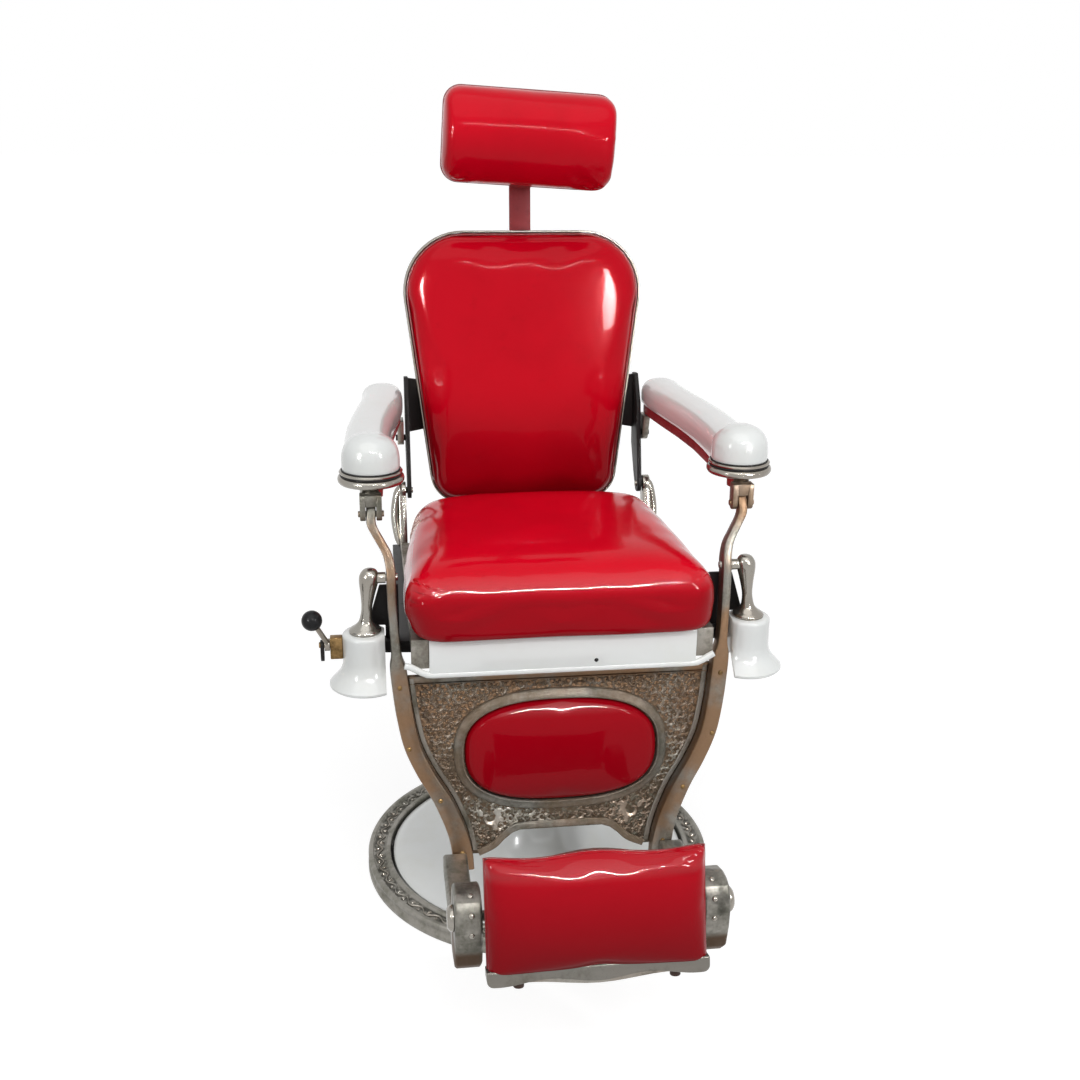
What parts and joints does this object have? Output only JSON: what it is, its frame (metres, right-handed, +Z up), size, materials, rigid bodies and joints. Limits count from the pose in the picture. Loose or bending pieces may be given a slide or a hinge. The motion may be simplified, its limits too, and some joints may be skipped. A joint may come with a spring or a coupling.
{
  "type": "barber chair",
  "caption": "Antique hydraulic barber chair with padded seat, reclining back and headrest, porcelain arms, linked leg frame with reversible footrest, and a round base",
  "frame": {"origin": "floor under the middle of the round base, on the swivel axis", "axes": "+Z up along the swivel axis, the sitter faces -Y, +X to the right seen from the front"},
  "size_m": [0.7943, 1.0384, 1.4324],
  "materials": {
    "aged_nickel": "aged nickel plate on castings, satin with tarnish",
    "porcelain": "white vitreous enamel on cast iron, gloss",
    "red_vinyl": "glossy red upholstery cover",
    "black_iron": "black paint, worn",
    "maroon_paint": "dull maroon",
    "brass": "dull brass",
    "black_knob": "black, gloss",
    "rubber": "matt",
    "wood": "plain"
  },
  "bodies": {
    "base": {"base_plate": "black_iron", "base_ring": "aged_nickel", "base_pedestal": "porcelain", "pump_cylinder": "black_iron", "gland_nut": "aged_nickel"},
    "lift": {"lift_ram": "aged_nickel", "piston_cup": "rubber", "thrust_washer": "brass"},
    "seat": {"seat_hub": "black_iron", "seat_frame": "black_iron", "seat_bell_left": "porcelain", "seat_bell_right": "porcelain", "seat_apron": "porcelain", "seat_rail_left": "aged_nickel", "seat_rail_right": "aged_nickel", "seat_board": "wood", "seat_cushion": "red_vinyl", "baluster_left": "aged_nickel", "baluster_right": "aged_nickel", "back_hinge_left": "black_iron", "back_hinge_right": "black_iron", "lever_bracket": "brass"},
    "lever": {"lever_arm": "aged_nickel", "lever_knob": "black_knob"},
    "trigger": {"release_trigger": "aged_nickel"},
    "back": {"back_panel": "wood", "back_rim": "aged_nickel", "back_cushion": "red_vinyl", "back_strap_left": "black_iron", "back_strap_right": "black_iron", "headrest_socket": "black_iron"},
    "thumb_screw": {"post_thumb_screw": "aged_nickel"},
    "headrest_post": {"headrest_post": "maroon_paint"},
    "headrest": {"headrest_shell": "black_iron", "headrest_cushion": "red_vinyl", "headrest_pin": "aged_nickel"},
    "left_arm": {"arm_top_left": "porcelain", "arm_rail_left": "maroon_paint", "arm_foot_left": "aged_nickel", "arm_lug_left": "black_iron", "clevis_pin_left": "aged_nickel"},
    "right_arm": {"arm_top_right": "porcelain", "arm_rail_right": "maroon_paint", "arm_foot_right": "aged_nickel", "arm_lug_right": "black_iron", "clevis_pin_right": "aged_nickel"},
    "leg_frame": {"leg_rail_left": "aged_nickel", "leg_rail_right": "aged_nickel", "leg_panel": "aged_nickel", "calf_bezel": "aged_nickel", "calf_pad": "red_vinyl", "footrest_bracket_left": "aged_nickel", "footrest_bracket_right": "aged_nickel", "trunnion_left": "aged_nickel", "trunnion_right": "aged_nickel"},
    "footrest": {"footrest_frame": "aged_nickel", "footrest_pad": "red_vinyl", "footrest_foot_left": "rubber", "footrest_foot_right": "rubber"}
  },
  "joints": [
    {"name": "lift_slide", "type": "slide", "parent": "base", "child": "lift", "axis": [0, 0, 1], "range_m": [-0.1, 0.08]},
    {"name": "seat_swivel", "type": "hinge", "parent": "lift", "child": "seat", "pos_m": [0, 0, 0.462], "axis": [0, 0, 1], "continuous": true},
    {"name": "lever_pull", "type": "hinge", "parent": "seat", "child": "lever", "pos_m": [-0.38, -0.255, 0.578], "axis": [1, 0, 0], "range_deg": [-25, 25]},
    {"name": "trigger_squeeze", "type": "hinge", "parent": "seat", "child": "trigger", "pos_m": [-0.38, -0.255, 0.578], "axis": [1, 0, 0], "range_deg": [-20, 40]},
    {"name": "recline", "type": "hinge", "parent": "seat", "child": "back", "pos_m": [0, 0.225, 0.69], "axis": [-1, 0, 0], "range_deg": [0, 50]},
    {"name": "left_arm_link", "type": "hinge", "parent": "back", "child": "left_arm", "pos_m": [-0.2305, 0.25, 0.789], "axis": [-1, 0, 0], "range_deg": [-50, 0]},
    {"name": "right_arm_link", "type": "hinge", "parent": "back", "child": "right_arm", "pos_m": [0.2305, 0.25, 0.789], "axis": [-1, 0, 0], "range_deg": [-50, 0]},
    {"name": "leg_swing", "type": "hinge", "parent": "seat", "child": "leg_frame", "pos_m": [0, -0.255, 0.69], "axis": [-1, 0, 0], "range_deg": [0, 50]},
    {"name": "footrest_flip", "type": "hinge", "parent": "leg_frame", "child": "footrest", "pos_m": [0, -0.6, 0.287], "axis": [-1, 0, 0], "range_deg": [0, 165]},
    {"name": "thumb_screw_turn", "type": "hinge", "parent": "back", "child": "thumb_screw", "pos_m": [0, 0.30718, 1.08434], "axis": [0, 0.9962, -0.0872], "continuous": true},
    {"name": "headrest_height", "type": "slide", "parent": "back", "child": "headrest_post", "axis": [0, 0.0872, 0.9962], "range_m": [-0.06, 0.08]},
    {"name": "headrest_tilt", "type": "hinge", "parent": "headrest_post", "child": "headrest", "pos_m": [0, 0.26, 1.345], "axis": [-1, 0, 0], "range_deg": [-25, 35]}
  ],
  "couplings": [
    {"joint": "left_arm_link", "follows": "recline", "ratio": -1},
    {"joint": "right_arm_link", "follows": "recline", "ratio": -1},
    {"joint": "leg_swing", "follows": "recline", "ratio": 1}
  ]
}
